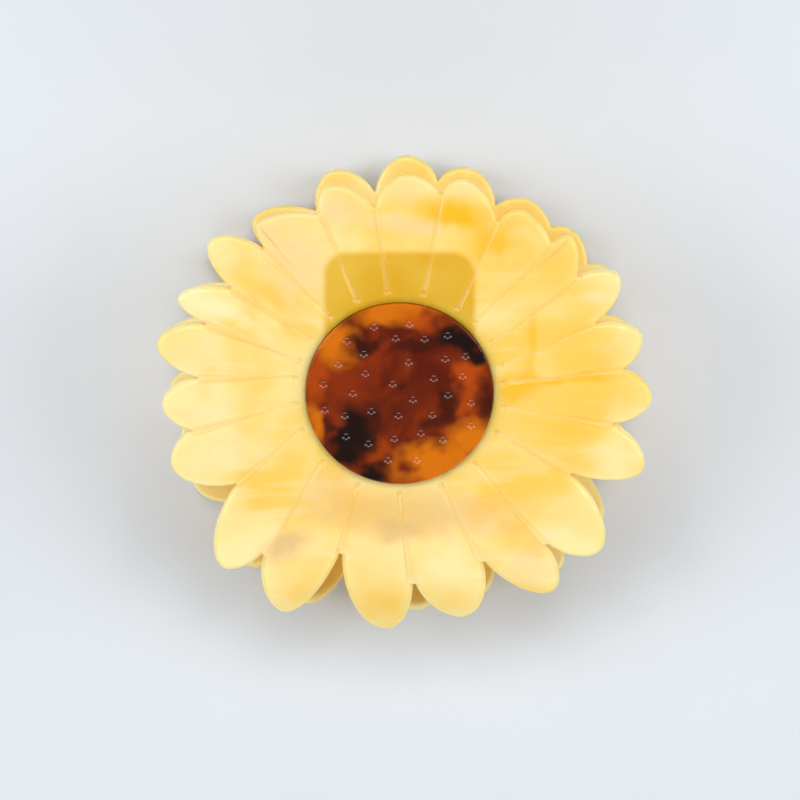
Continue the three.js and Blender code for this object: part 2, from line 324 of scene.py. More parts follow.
def flowerRows():  # the sheet's section from the middle of the inner face, round the rim, to the disc seat
    seat = discSize["diameter"] / 2 + flower["seatGap"]
    start = flower["grooveStart"]
    inner, outer = flower["innerRound"], flower["outerRound"]
    rows = [{"radius": 0, "height": -half}, {"radius": start - 1, "height": -half}]
    rows += [{"share": share / 8, "height": -half} for share in range(8)]
    for step in range(7):  # the inner edge's round
        turn = step / 6 * math.pi / 2
        rows.append({"inset": inner * (1 - math.sin(turn)), "height": -half + inner * (1 - math.cos(turn))})
    for step in range(9):  # the outer edge's round
        turn = step / 8 * math.pi / 2
        inset, height = outer * (1 - math.cos(turn)), half - outer * (1 - math.sin(turn))
        rows.append({"inset": inset, "height": height, "outer": 1})
    rows += [{"share": share / 18, "height": half, "outer": 1} for share in range(17, 0, -1)]
    rows += [{"radius": start + 0.2 * step, "height": half, "outer": 1} for step in range(4, -6, -1)]
    rows += [
        {"radius": seat + 0.2, "height": half},
        {"radius": seat + 0.06, "height": half - 0.06},
        {"radius": seat, "height": half - 0.2},
        {"radius": seat, "height": half - discSize["seatDepth"]},
        {"radius": 0, "height": half - discSize["seatDepth"]},
    ]
    return rows


def flowerPiece(name, petals, place):
    columns = [column for index in range(len(petals)) for column in petalColumns(petals, index)]
    rim = softened([column["rim"] for column in columns], 4)
    normals = []
    for index in range(len(rim)):
        run = rim[(index + 1) % len(rim)] - rim[index - 1]
        normals.append(Vector((-run.y, run.x)).normalized())  # the rim runs clockwise, this points outwards
    rows = flowerRows()
    start = flower["grooveStart"]
    farInset = max(flower["innerRound"], flower["outerRound"]) + 0.25

    def spot(index, row):
        column = columns[index]
        if "inset" in row:
            return rim[index] - (row["inset"] + flower["relief"]) * normals[index]
        if "radius" in row:
            return polar(row["radius"], column["inner"])
        inside = polar(start + 0.8, column["inner"])
        return inside.lerp(rim[index] - farInset * normals[index], row["share"])

    grid = [[spot(index, row) for row in rows] for index in range(len(columns))]
    edges = [index for index, column in enumerate(columns) if column["first"]] + [len(columns)]
    pits = [polar(start, columns[index % len(columns)]["inner"]) for index in edges]
    bm = bmesh.new()
    bmesh.ops.create_grid(bm, x_segments=len(columns), y_segments=len(rows) - 1, size=1)
    steps = flower["stepsPerPetal"]
    # the rim and groove attributes mark where the material paints a highlight on the rim and light and
    # shade in the grooves and pits
    rimShare, grooveShare = (bm.verts.layers.float.new(name) for name in ("rim", "groove"))
    sheetPlace = bm.verts.layers.float_vector.new("sheetPlace")
    for vert in bm.verts:
        index = round((vert.co.x + 1) / 2 * len(columns)) % len(columns)
        level = round((vert.co.y + 1) / 2 * (len(rows) - 1))
        row, at = rows[level], grid[index][level]
        height, reach = row["height"], at.length
        if "outer" in row:
            before = index // steps
            edge = min(
                (at - grid[edges[before] % len(columns)][level]).length,
                (at - grid[edges[before + 1] % len(columns)][level]).length,
            )
            pit = min((at - pits[before]).length, (at - pits[before + 1]).length)
            outwards = smooth(start - 0.2, start + 0.6, reach)
            faded = flower["grooveFade"] * smooth(flower["grooveFadeFrom"], flower["grooveFadeTo"], reach)
            groove = outwards * (1 - smooth(flower["grooveFlat"], flower["grooveWidth"], edge))
            height -= flower["grooveDepth"] * (1 - faded) * groove
            camber = flower["camber"] * smooth(flower["camberFrom"], flower["camberTo"], reach)
            height -= camber * (2 * columns[index]["across"] - 1) ** 2
            dip = max(0.0, 1 - (pit / flower["pitRadius"]) ** 2)
            height -= flower["pitDepth"] * dip
            vert[grooveShare] = max(dip, groove)
        vert[rimShare] = 1 if "inset" in row else smooth(0.8, 1, row.get("share", 0))
        vert[sheetPlace] = (at.x, at.y, 0)
        vert.co = onSheet(at.x, at.y, height)
    bmesh.ops.remove_doubles(bm, verts=bm.verts, dist=1e-4)
    return pieceFrom(name, bm, place, sharp=50)


dimple = {"radius": 1.15, "mouth": 0.85}
dimples = [  # from the middle of the disc
    (-4.4, 12.2), (1.7, 12.7), (-9.1, 9.7), (-0.7, 10.2), (4.3, 10.1), (8.3, 10.7), (-6.2, 7.4),
    (-10.6, 5.5), (1.6, 5.9), (7.9, 6.5), (11.4, 7.0), (-5.9, 3.9), (5.9, 3.0), (10.9, 3.4),
    (-13.2, 1.9), (-1.2, 2.0), (-8.1, 0.3), (2.3, -0.8), (8.4, 0.0), (12.4, -1.4), (-13.0, -2.7),
    (-9.5, -3.7), (-4.9, -2.9), (-0.2, -3.7), (5.7, -3.6), (12.4, -5.5), (-9.3, -7.5), (-5.4, -8.8),
    (-0.9, -7.9), (3.7, -6.9), (7.5, -8.1), (-2.0, -11.8), (3.0, -11.8),
]


def discPiece(name, place):
    thickness = discSize["thickness"]
    bm = bmesh.new()
    radius = discSize["diameter"] / 2
    bmesh.ops.create_cone(bm, cap_ends=True, segments=160, radius1=radius, radius2=radius, depth=thickness)
    rims = [edge for edge in bm.edges if abs(edge.verts[0].co.z - edge.verts[1].co.z) < 0.1]
    eased(bm, rims, discSize["edge"])
    drill = bmesh.new()
    lift = math.sqrt(dimple["radius"] ** 2 - dimple["mouth"] ** 2)
    for x, y in dimples:
        at = Matrix.Translation((x, y, thickness / 2 + lift))
        bmesh.ops.create_uvsphere(drill, u_segments=24, v_segments=24, radius=dimple["radius"], matrix=at)
    bm = cut(bm, drill)
    centre = onSheet(0, 0, discMiddle)
    seated = place @ Matrix.Translation(centre) @ Matrix.Rotation(sheet["tilt"], 4, "X")
    return pieceFrom(name, bm, seated, sharp=30)


pad = {"width": 26, "thickness": 2.2, "top": 25, "bottom": 3, "corner": 4, "edge": 0.45}
ear = {
    "thickness": 2.5,
    "bottom": 8,
    "top": 20,
    "knuckle": 3.2,
    "rearInside": 6.8,
    "edge": 0.4,
    "footGap": 0.06,
}
pinSize = {"diameter": 2, "head": 4.2, "headThickness": 1.4, "boreGap": 0.12, "retainerGap": 0.02}
wire = {"diameter": 1.2, "coil": 2.6, "fullTurns": 7, "legReach": 21, "legGap": 0.06}
padOuter = -half - sheet["fitGap"]
padInner = padOuter - pad["thickness"]
ear["frontInside"] = ear["rearInside"] + ear["thickness"] + sheet["fitGap"]
ear["frontOutside"] = ear["frontInside"] + ear["thickness"]


def padPiece(name, place):
    length = pad["top"] - pad["bottom"]
    bm = bmesh.new()
    bmesh.ops.create_grid(bm, x_segments=1, y_segments=1, size=0.5)
    bmesh.ops.scale(bm, vec=(pad["width"], length, 1), verts=bm.verts)
    bmesh.ops.bevel(bm, geom=list(bm.verts), offset=pad["corner"], segments=8, profile=0.5,
                    affect="VERTICES", material=-1)
    raised = bmesh.ops.extrude_face_region(bm, geom=list(bm.faces))
    top = [item for item in raised["geom"] if isinstance(item, bmesh.types.BMVert)]
    bmesh.ops.translate(bm, vec=(0, 0, pad["thickness"]), verts=top)
    bmesh.ops.recalc_face_normals(bm, faces=bm.faces)
    rims = [edge for edge in bm.edges if abs(edge.verts[0].co.z - edge.verts[1].co.z) < 0.1]
    eased(bm, rims, pad["edge"])
    for step in range(1, 12):  # rows that let the pad follow the sheet's bend
        level = lerp(-length / 2, length / 2, step / 12)
        bmesh.ops.bisect_plane(bm, geom=bm.verts[:] + bm.edges[:] + bm.faces[:],
                               plane_co=(0, level, 0), plane_no=(0, 1, 0))
    for vert in bm.verts:
        along = vert.co.y + (pad["top"] + pad["bottom"]) / 2
        vert.co = onSheet(vert.co.x, along, padInner + vert.co.z)
    return pieceFrom(name, bm, place)


def earPiece(name, place, start):
    bm = bmesh.new()
    for x in (start, start + ear["thickness"]):
        turn = Matrix.Translation((x, 0, 0)) @ Matrix.Rotation(math.pi / 2, 4, "Y")
        bmesh.ops.create_circle(bm, segments=40, radius=ear["knuckle"], matrix=turn)
        for along in (ear["bottom"], ear["top"]):
            bmesh.ops.create_vert(bm, co=onSheet(x, along, padInner - ear["footGap"]))
    bmesh.ops.delete(bm, geom=bm.edges[:], context="EDGES_FACES")
    bmesh.ops.convex_hull(bm, input=bm.verts)
    bmesh.ops.delete(bm, geom=[vert for vert in bm.verts if not vert.link_faces], context="VERTS")
    bmesh.ops.dissolve_limit(bm, angle_limit=math.radians(2), verts=bm.verts, edges=bm.edges)
    rims = [edge for edge in bm.edges if abs(edge.verts[0].co.x - edge.verts[1].co.x) < 0.1]
    eased(bm, rims, ear["edge"])
    bore = bmesh.new()
    radius = pinSize["diameter"] / 2 + pinSize["boreGap"]
    bmesh.ops.create_cone(bore, cap_ends=True, segments=40, radius1=radius, radius2=radius, depth=60,
                          matrix=Matrix.Rotation(math.pi / 2, 4, "Y"))
    return pieceFrom(name, cut(bm, bore), place)


# an outline of (along the pin, from its axis) points, turned about the pin
def turnedPiece(name, place, outline):
    bm = bmesh.new()
    verts = [bm.verts.new((x, radius, 0)) for x, radius in outline]
    edges = [bm.edges.new(pair) for pair in zip(verts, verts[1:])]
    bmesh.ops.spin(bm, geom=verts + edges, cent=(0, 0, 0), axis=(1, 0, 0), angle=math.tau, steps=40,
                   use_merge=True)
    bmesh.ops.remove_doubles(bm, verts=bm.verts, dist=1e-4)
    return pieceFrom(name, bm, place)


def rounded(x, radius, turnFrom, turnTo, size, steps=5):  # an arc of the outline round the given centre
    arc = []
    for step in range(steps + 1):
        turn = math.radians(lerp(turnFrom, turnTo, step / steps))
        arc.append((x + size * math.cos(turn), radius + size * math.sin(turn)))
    return arc


def pinPiece(name, place):
    stem, head = pinSize["diameter"] / 2, pinSize["head"] / 2
    face = -ear["frontOutside"] - sheet["fitGap"]
    end = ear["frontOutside"] + 2 * sheet["fitGap"] + pinSize["headThickness"]
    dome = face - pinSize["headThickness"]
    outline = [(dome, 0), (dome + 0.03, head * 0.35), (dome + 0.13, head * 0.62)]
    outline += rounded(dome + 0.75, head - 0.5, 170, 90, 0.5)
    outline += rounded(face - 0.12, head - 0.12, 90, 0, 0.12, 2)
    outline += [(face, stem + 0.1), (face + 0.1, stem)]
    outline += rounded(end - 0.3, stem - 0.3, 90, 0, 0.3, 4) + [(end, 0)]
    return turnedPiece(name, place, outline)


def retainerPiece(name, place):
    bore, rim = pinSize["diameter"] / 2 + pinSize["retainerGap"], pinSize["head"] / 2
    first = ear["frontOutside"] + sheet["fitGap"]
    last = first + pinSize["headThickness"]
    outline = [(first, bore + 0.1)] + rounded(first + 0.2, rim - 0.2, 180, 90, 0.2, 3)
    outline += rounded(last - 0.4, rim - 0.4, 90, 0, 0.4)
    outline += [(last, bore + 0.15), (last - 0.15, bore), (first + 0.1, bore), (first, bore + 0.1)]
    return turnedPiece(name, place, outline)


def springPiece(name, place):  # two straight legs that leave the coil along its tangent
    radius, legSteps = wire["coil"], 12
    tip = onSheet(0, wire["legReach"], padInner - wire["diameter"] / 2 - wire["legGap"])
    leave = math.atan2(tip.z, tip.y) + math.acos(radius / math.hypot(tip.y, tip.z))
    sweep = 2 * leave - math.tau * (wire["fullTurns"] + 1)
    turns = abs(sweep) / math.tau
    length = turns * (wire["diameter"] + sheet["fitGap"])

    def onCoil(share):
        angle = -leave + sweep * share
        return Vector(((share - 0.5) * length, radius * math.cos(angle), radius * math.sin(angle)))

    rearTip, frontTip = (Vector((side * length / 2, tip.y, side * tip.z)) for side in (-1, 1))
    steps = round(turns * 32)
    route = [rearTip.lerp(onCoil(0), step / legSteps) for step in range(legSteps)]
    route += [onCoil(step / steps) for step in range(steps + 1)]
    route += [onCoil(1).lerp(frontTip, (step + 1) / legSteps) for step in range(legSteps)]
    curve = bpy.data.curves.new(name, "CURVE")
    curve.dimensions = "3D"
    curve.bevel_depth = wire["diameter"] / 2
    curve.bevel_resolution = 5
    curve.use_fill_caps = True
    spline = curve.splines.new("POLY")
    spline.points.add(len(route) - 1)
    for point, at in zip(spline.points, route):
        point.co = (*at, 1)
    strand = bpy.data.objects.new(name, curve)
    bpy.context.scene.collection.objects.link(strand)
    bpy.context.view_layer.update()
    bm = meshOf(strand)
    bmesh.ops.remove_doubles(bm, verts=bm.verts, dist=1e-4)
    return pieceFrom(name, bm, place, sharp=60), length


def linear(red, green, blue):  # 0 to 255 display values to the linear colours that shaders take
    def one(value):
        value /= 255
        return value / 12.92 if value <= 0.04045 else ((value + 0.055) / 1.055) ** 2.4

    return (one(red), one(green), one(blue), 1)


def give(tree, made, inputs):  # values, or other nodes' sockets, to a node's inputs
    for socket, value in inputs.items():
        if isinstance(value, bpy.types.NodeSocket):
            tree.links.new(value, made.inputs[socket])
        else:
            made.inputs[socket].default_value = value


def add(tree, kind, inputs=None, **settings):
    made = tree.nodes.new("ShaderNode" + kind)
    for name, value in settings.items():
        setattr(made, name, value)
    give(tree, made, inputs or {})
    return made


def maths(tree, operation, *values, clamp=False):
    return add(tree, "Math", dict(enumerate(values)), operation=operation, use_clamp=clamp).outputs[0]


def vectors(tree, operation, *values, output=0, **named):
    inputs = {**dict(enumerate(values)), **named}
    return add(tree, "VectorMath", inputs, operation=operation).outputs[output]


def mixed(tree, share, first, second):
    return add(tree, "Mix", {0: share, 6: first, 7: second}, data_type="RGBA").outputs[2]


def ranged(tree, value, low, high, start=0.0, end=1.0):
    inputs = {"Value": value, "From Min": low, "From Max": high, "To Min": start, "To Max": end}
    return add(tree, "MapRange", inputs, interpolation_type="SMOOTHSTEP").outputs[0]


def noise(tree, vector, scale, detail=2.0, distortion=0.0):
    inputs = {"Vector": vector, "Scale": scale, "Detail": detail, "Distortion": distortion}
    return add(tree, "TexNoise", inputs)


def newGroup(name, inputs, outputs):
    tree = bpy.data.node_groups.new(name, "ShaderNodeTree")
    kinds = {float: "NodeSocketFloat", tuple: "NodeSocketVector"}
    for socket, value in inputs.items():
        made = tree.interface.new_socket(socket, in_out="INPUT", socket_type=kinds[type(value)])
        made.default_value = value
    for socket, value in outputs.items():
        tree.interface.new_socket(socket, in_out="OUTPUT", socket_type=kinds[type(value)])
    return tree, tree.nodes.new("NodeGroupInput").outputs, tree.nodes.new("NodeGroupOutput").inputs


def positionGroup():  # the piece's own coordinates in millimetres, and the same without their height
    inputs, outputs = {"Object": (0.0, 0.0, 0.0)}, {"Position": (), "Plan": ()}
    tree, given, result = newGroup("positionInMm", inputs, outputs)
    position = vectors(tree, "SCALE", given["Object"], Scale=1 / mm)
    plan = vectors(tree, "MULTIPLY", position, (1, 1, 0))
    tree.links.new(position, result["Position"])
    tree.links.new(plan, result["Plan"])
    return tree


def warpGroup():  # bends a pattern's coordinates
    inputs = {"Vector": (0.0, 0.0, 0.0), "Position": (0.0, 0.0, 0.0), "Frequency": 0.1, "Amount": 2.0}
    tree, given, result = newGroup("warp", inputs, {"Vector": ()})
    swirl = noise(tree, given["Position"], given["Frequency"], 2).outputs[1]
    offset = vectors(tree, "SUBTRACT", swirl, (0.5, 0.5, 0.5))
    moved = vectors(tree, "SCALE", offset, Scale=given["Amount"])
    tree.links.new(vectors(tree, "ADD", given["Vector"], moved), result["Vector"])
    return tree


def blotGroup():  # a soft oval patch
    inputs = {"Vector": (0.0, 0.0, 0.0), "Centre": (0.0, 0.0, 0.0), "Size": (1.0, 1.0, 1.0), "Turn": 0.0,
              "Softness": 0.5}
    tree, given, result = newGroup("softBlot", inputs, {"Mask": 0.0})
    offset = vectors(tree, "SUBTRACT", given["Vector"], given["Centre"])
    turn = {"Vector": offset, "Angle": given["Turn"]}
    turned = add(tree, "VectorRotate", turn, rotation_type="Z_AXIS").outputs[0]
    shrunk = vectors(tree, "DIVIDE", turned, given["Size"])
    length = vectors(tree, "LENGTH", shrunk, output="Value")
    inner = maths(tree, "SUBTRACT", 1.0, given["Softness"])
    outer = maths(tree, "ADD", 1.0, given["Softness"])
    tree.links.new(ranged(tree, length, inner, outer, 1.0, 0.0), result["Mask"])
    return tree


def boxGroup():  # a rectangle with round corners and soft edges
    inputs = {"Vector": (0.0, 0.0, 0.0), "Centre": (0.0, 0.0, 0.0), "Half": (1.0, 1.0, 1.0),
              "Corner": 1.0, "Softness": 0.5}
    tree, given, result = newGroup("softBox", inputs, {"Mask": 0.0})
    offset = vectors(tree, "SUBTRACT", given["Vector"], given["Centre"])
    beyond = vectors(tree, "SUBTRACT", vectors(tree, "ABSOLUTE", offset), given["Half"])
    apart = add(tree, "SeparateXYZ", {0: beyond}).outputs
    squares = []
    for axis in ("X", "Y"):
        past = maths(tree, "MAXIMUM", maths(tree, "ADD", apart[axis], given["Corner"]), 0.0)
        squares.append(maths(tree, "MULTIPLY", past, past))
    reach = maths(tree, "SQRT", maths(tree, "ADD", *squares))
    outside = maths(tree, "SUBTRACT", reach, given["Corner"])
    inner = maths(tree, "MULTIPLY", given["Softness"], -1.0)
    tree.links.new(ranged(tree, outside, inner, given["Softness"], 1.0, 0.0), result["Mask"])
    return tree


def marbleGroup():  # broad clouds and thin drawn-out streaks
    inputs = {"Position": (0.0, 0.0, 0.0), "Frequency": 0.06}
    tree, given, result = newGroup("marble", inputs, {"Cloud": 0.0, "Streak": 0.0})
    cloud = noise(tree, given["Position"], given["Frequency"], 3, 0.6).outputs[0]
    drawn = vectors(tree, "MULTIPLY", given["Position"], (0.35, 1.6, 0.8))
    twice = maths(tree, "MULTIPLY", given["Frequency"], 2.5)
    streak = noise(tree, drawn, twice, 4, 1.2).outputs[0]
    tree.links.new(ranged(tree, cloud, 0.35, 0.65), result["Cloud"])
    tree.links.new(ranged(tree, streak, 0.5, 0.68), result["Streak"])
    return tree


def polishGroup():  # the slightly uneven gloss and hand-polished waviness of acetate and plated metal
    inputs = {"Position": (0.0, 0.0, 0.0), "Roughness": 0.15, "Unevenness": 0.06}
    tree, given, result = newGroup("polish", inputs, {"Roughness": 0.0, "Height": 0.0})
    smear = noise(tree, given["Position"], 0.25, 4).outputs[0]
    fine = noise(tree, given["Position"], 4.0, 2).outputs[0]
    both = maths(tree, "ADD", smear, maths(tree, "MULTIPLY", fine, 0.4))
    uneven = maths(tree, "MULTIPLY", maths(tree, "SUBTRACT", both, 0.7), given["Unevenness"])
    wave = noise(tree, given["Position"], 0.12, 1).outputs[0]
    tree.links.new(maths(tree, "ADD", given["Roughness"], uneven, clamp=True), result["Roughness"])
    tree.links.new(maths(tree, "ADD", wave, maths(tree, "MULTIPLY", fine, 0.004)), result["Height"])
    return tree


effects = {"position": positionGroup(), "warp": warpGroup(), "blot": blotGroup(), "box": boxGroup(),
           "marble": marbleGroup(), "polish": polishGroup()}


def use(tree, effect, inputs):
    made = tree.nodes.new("ShaderNodeGroup")
    made.node_tree = effects[effect]
    give(tree, made, inputs)
    return made.outputs


def newMaterial(name):  # a material with its shader, and the piece's own coordinates in millimetres
    material = bpy.data.materials.new(name)
    material.use_nodes = True
    tree = material.node_tree
    shader = tree.nodes["Principled BSDF"]
    coordinates = add(tree, "TexCoord").outputs["Object"]
    return material, tree, shader, use(tree, "position", {"Object": coordinates})


def polished(tree, shader, position, look):
    inputs = {"Position": position, "Roughness": look["roughness"], "Unevenness": look["unevenness"]}
    polish = use(tree, "polish", inputs)
    tree.links.new(polish["Roughness"], shader.inputs["Roughness"])
    bump = add(tree, "Bump", {"Height": polish["Height"], "Strength": 1, "Distance": look["wave"] * mm})
    tree.links.new(bump.outputs[0], shader.inputs["Normal"])


def scattering(shader, look):  # light spread inside acetate
    shader.inputs["Subsurface Weight"].default_value = look["subsurface"]
    shader.inputs["Subsurface Radius"].default_value = look["scatter"]
    shader.inputs["Subsurface Scale"].default_value = look["scatterDepth"]
    shader.inputs["IOR"].default_value = 1.49


# patches over a colour, each with its place, size, turn, colour and strength
def painted(tree, color, place, look, blots):
    bent = {
        "Vector": place["Plan"],
        "Position": place["Position"],
        "Frequency": look["bendFrequency"],
        "Amount": look["bend"],
    }
    plan = use(tree, "warp", bent)["Vector"]
    for across, along, wide, tall, turn, paint, strength in blots:
        mask = use(tree, "blot", {
            "Vector": plan,
            "Centre": (across, discAt.y / mm + along, 0),
            "Size": (wide, tall, 1),
            "Turn": math.radians(-turn),
            "Softness": look["blotSoftness"],
        })["Mask"]
        color = mixed(tree, maths(tree, "MULTIPLY", mask, strength), color, linear(*paint))
    return color


petalLook = {
    "light": (255, 224, 150),
    "deep": (255, 208, 96),
    "streak": (255, 230, 176),
    "streaks": 0.35,  # how strong they are
    # the rim colour is a painted highlight, a lighter edge round each petal
    "rim": (255, 226, 160),
    # the groove colour is painted light on the floor of the grooves and pits, the groove edge colour
    # painted shade on their walls
    "groove": (255, 224, 150),
    "grooveWallShade": (232, 190, 70),
    "padShade": (219, 171, 20),  # where the pad shows through, darkened by painted shade
    "padLight": (224, 184, 40),
    "rimHighlightShows": 0.3,
    "grooveFloorLightShows": 0.55,
    "grooveWallShadeShows": 1.1,
    "padShadeShows": 0.88,
    "padShadeShowsInGroove": 0.6,
    "padSoftness": 0.8,
    "cloudFrequency": 0.05,
    "bendFrequency": 0.12,
    "bend": 5.0,
    "blotSoftness": 0.6,
    "subsurface": 0.9,
    "scatter": (1.0, 0.75, 0.35),
    "scatterDepth": 0.003,
    "roughness": 0.25,
    "unevenness": 0.1,
    "wave": 0.25,
}
# the pink tone is a painted highlight: pale glints of an overhead lamp on the upper petals
goldTone, creamTone, pinkHighlightTone = (253, 191, 4), (255, 236, 190), (255, 214, 160)
# the smoke tone is painted shade: greyish patches on the lower petals where shadows show through the sheet
paintedShadeTone = (206, 178, 120)
petalBlots = [  # from the middle of the front disc
    (10.5, 30.7, 9, 2.6, -4, goldTone, 0.9), (17, 24.9, 4.5, 4, 0, goldTone, 0.8),
    (22, 31.5, 5, 3, -30, goldTone, 0.45), (28, 25, 6, 3.5, 40, goldTone, 0.25),
    (0.6, 28.4, 6.5, 1.7, 0, pinkHighlightTone, 0.8), (-10.9, 31.8, 5.5, 2.8, 10, pinkHighlightTone, 0.8),
    (-21.9, 27.8, 5, 3.5, -30, pinkHighlightTone, 0.7), (-17.3, 21.5, 6, 6, 0, pinkHighlightTone, 0.6),
    (11.5, 36, 4, 2.6, 0, pinkHighlightTone, 0.5), (1, 34.5, 4, 2.4, 0, pinkHighlightTone, 0.5),
    (-34.5, 16.4, 7, 2.6, -20, creamTone, 0.9), (-27, 12.2, 6, 1.2, -32, creamTone, 0.5),
    (-22, 16.5, 6, 1.4, -38, goldTone, 0.3), (-17.5, 11, 3, 1.3, -35, goldTone, 0.4),
    (-27.7, -24.3, 7, 9, -30, creamTone, 0.1), (-36, -1, 7, 18, 5, creamTone, 0.55),
    (36, 19, 5, 3.5, 35, creamTone, 0.35), (39, 9.5, 5, 3.5, 10, creamTone, 0.4),
    (29, 2.4, 10, 0.8, 2, goldTone, 0.65), (20.5, 0.8, 3.2, 3.2, 0, goldTone, 0.8),
    (22.3, 8.6, 0.9, 6.5, 3, goldTone, 0.5), (38, -12, 5, 3.5, -15, creamTone, 0.4),
    (27, -6, 7, 1.5, -12, goldTone, 0.25), (-31, 24.8, 5, 4, -40, creamTone, 0.55),
    (-27, -10, 5, 3.5, 20, creamTone, 0.35), (24, -30, 4, 4, 0, paintedShadeTone, 0.2),
    (-12, -17, 5, 4, 30, paintedShadeTone, 0.25), (2, -21, 15, 4, 0, paintedShadeTone, 0.42),
    (0, -24.6, 4.5, 2.0, 0, paintedShadeTone, 0.45), (18.2, -24.2, 3.8, 1.8, 0, paintedShadeTone, 0.4),
    (-19.5, -27.2, 6, 2.1, 20, paintedShadeTone, 0.6),
]


def petalMaterial():
    material, tree, shader, place = newMaterial("petalAcetate")
    marble = use(tree, "marble", {"Position": place["Position"], "Frequency": petalLook["cloudFrequency"]})
    color = mixed(tree, marble["Cloud"], linear(*petalLook["deep"]), linear(*petalLook["light"]))
    streaks = maths(tree, "MULTIPLY", marble["Streak"], petalLook["streaks"])
    color = mixed(tree, streaks, color, linear(*petalLook["streak"]))
    color = painted(tree, color, place, petalLook, petalBlots)
    # over the pad: partly the pad's colour seen through the sheet, partly painted shade where the pad
    # blocks light from behind
    behind = use(tree, "box", {
        "Vector": add(tree, "Attribute", attribute_name="sheetPlace").outputs["Vector"],
        "Centre": (0, (pad["top"] + pad["bottom"]) / 2, 0),
        "Half": (pad["width"] / 2, (pad["top"] - pad["bottom"]) / 2, 1),
        "Corner": pad["corner"],
        "Softness": petalLook["padSoftness"],
    })["Mask"]
    shade = mixed(tree, marble["Cloud"], linear(*petalLook["padShade"]), linear(*petalLook["padLight"]))
    rim, groove = (add(tree, "Attribute", attribute_name=name).outputs["Fac"] for name in ("rim", "groove"))
    edge = maths(tree, "MULTIPLY", groove, maths(tree, "SUBTRACT", 1.0, groove))
    # painted highlight on the rims, painted shade on the groove walls, painted light on the groove floors
    # and pits
    rimHighlightMask = maths(tree, "MULTIPLY", rim, petalLook["rimHighlightShows"])
    grooveShadeMask = maths(tree, "MULTIPLY", edge, petalLook["grooveWallShadeShows"])
    grooveLightMask = ranged(tree, groove, 0.6, 1.0, 0.0, petalLook["grooveFloorLightShows"])
    color = mixed(tree, rimHighlightMask, color, linear(*petalLook["rim"]))
    color = mixed(tree, grooveShadeMask, color, linear(*petalLook["grooveWallShade"]))
    color = mixed(tree, grooveLightMask, color, linear(*petalLook["groove"]))
    through = ranged(tree, groove, 0.0, 1.0, petalLook["padShadeShows"], petalLook["padShadeShowsInGroove"])
    color = mixed(tree, maths(tree, "MULTIPLY", behind, through), color, shade)
    tree.links.new(color, shader.inputs["Base Color"])
    scattering(shader, petalLook)
    polished(tree, shader, place["Position"], petalLook)
    return material


shellLook = {
    "brown": (92, 22, 1),
    "red": (134, 44, 2),
    "cloudFrequency": 0.12,
    "bendFrequency": 0.17,
    "bend": 5.5,
    "blotSoftness": 0.48,
    "subsurface": 0.15,
    "scatter": (1.0, 0.4, 0.1),
    "scatterDepth": 0.001,
    "roughness": 0.07,
    "unevenness": 0.05,
    "wave": 0.1,
}
amberTone, orangeTone = (214, 113, 2), (186, 74, 2)
darkTone, blackTone = (60, 17, 2), (28, 10, 3)
shellBlots = [  # from the disc's middle
    (-10.9, 8.3, 4, 3.6, 0, amberTone, 0.95), (-0.5, 14.2, 7.5, 2.6, 0, amberTone, 0.95),
    (4.5, 12.2, 5, 2, -20, orangeTone, 0.6), (-14.5, 2, 1.8, 4, 0, orangeTone, 0.7),
    (12.4, 4.1, 3.2, 2.4, 0, orangeTone, 0.85), (12, -1, 2.4, 4, 0, orangeTone, 0.75),
    (5.5, -12.4, 7, 3.4, 5, amberTone, 1.0), (11.8, -8.4, 4, 3.4, 30, amberTone, 1.0),
    (-14.6, -5.8, 1.4, 3.6, 10, amberTone, 0.9), (-4, -9, 2, 4, 20, orangeTone, 0.5),
    (-6.4, 8.2, 3.4, 1.6, 28, darkTone, 1.0), (3.5, 8.6, 6, 1.1, 14, darkTone, 0.8),
    (10.2, 9.4, 5, 2.2, -26, blackTone, 1.0), (13, 7.4, 2.6, 1.8, -30, blackTone, 1.0),
    (-9.2, -6.4, 4.2, 4.4, 0, blackTone, 1.0), (-10, -10.4, 3.6, 2.4, -30, blackTone, 1.0),
    (-5.2, -6, 2.4, 3.4, -10, blackTone, 0.8), (-4.6, -14.2, 2.4, 2.4, 0, blackTone, 1.0),
    (14.8, -0.8, 2.0, 4.4, 0, darkTone, 0.9), (8.8, -0.8, 1.8, 2.6, 0, darkTone, 0.85),
    (6.4, -4.4, 3, 1.6, 20, darkTone, 0.8), (0.5, 2.2, 0.9, 0.8, 0, darkTone, 0.8),
    (-1.5, -3.5, 4, 3, 0, darkTone, 0.35), (8, -14.8, 1.2, 0.7, 0, darkTone, 0.7),
]


def shellMaterial():
    material, tree, shader, place = newMaterial("tortoiseshell")
    marble = use(tree, "marble", {"Position": place["Position"], "Frequency": shellLook["cloudFrequency"]})
    color = mixed(tree, marble["Cloud"], linear(*shellLook["brown"]), linear(*shellLook["red"]))
    color = painted(tree, color, place, shellLook, shellBlots)
    tree.links.new(color, shader.inputs["Base Color"])
    scattering(shader, shellLook)
    polished(tree, shader, place["Position"], shellLook)
    return material


hingeLook = {
    "light": (250, 214, 120),
    "deep": (232, 176, 60),
    "streak": (255, 230, 176),
    "streaks": 0.3,
    "cloudFrequency": 0.12,
    "subsurface": 0.4,
    "scatter": (1.0, 0.7, 0.3),
    "scatterDepth": 0.002,
    "transmission": 0.1,
    "roughness": 0.2,
    "unevenness": 0.08,
    "wave": 0.15,
}


